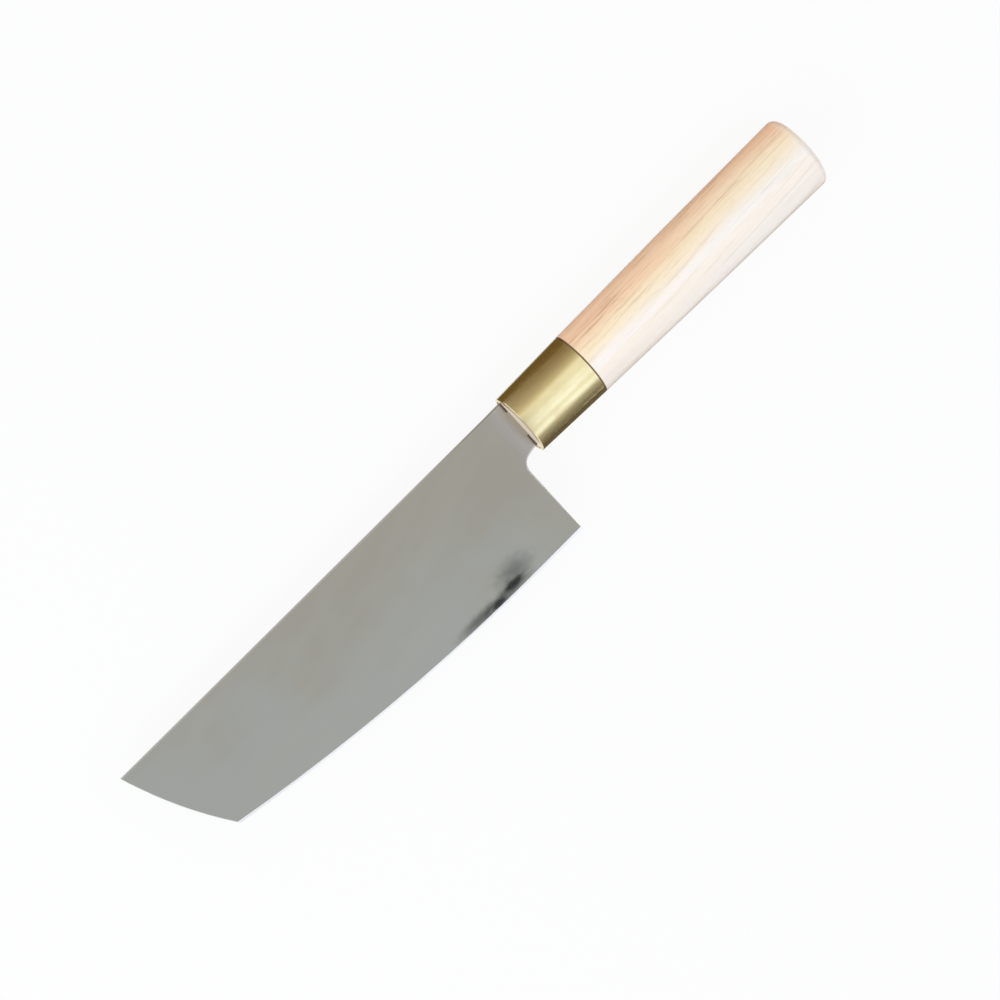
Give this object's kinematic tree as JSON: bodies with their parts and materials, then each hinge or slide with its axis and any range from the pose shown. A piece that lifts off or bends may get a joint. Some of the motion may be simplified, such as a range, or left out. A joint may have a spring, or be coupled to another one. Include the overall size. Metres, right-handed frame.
{
  "type": "nakiri knife",
  "caption": "Kitchen knife with a tall flat-ground blade, square heel and forward point, on an oval wooden handle with a brass ferrule.",
  "frame": {"origin": "middle of the bounding box, on the plane that the handle's underside touches", "axes": "+X along the handle, from the point to the butt; +Y from the cutting edge to the spine; +Z across the blade's thickness"},
  "size_m": [0.3179, 0.0555, 0.0235],
  "materials": {
    "steel": "fine satin, close to polished",
    "brass": "lengthwise satin",
    "wood": "pale straight-grained wood, sanded and oiled",
    "resin": "dark cured resin",
    "filler": "pale wood filler, cured and rubbed down"
  },
  "bodies": {
    "root": {"blade": "steel", "ferrule": "brass", "handle": "wood", "tang_adhesive": "resin", "mouth_seal": "filler"}
  },
  "joints": []
}
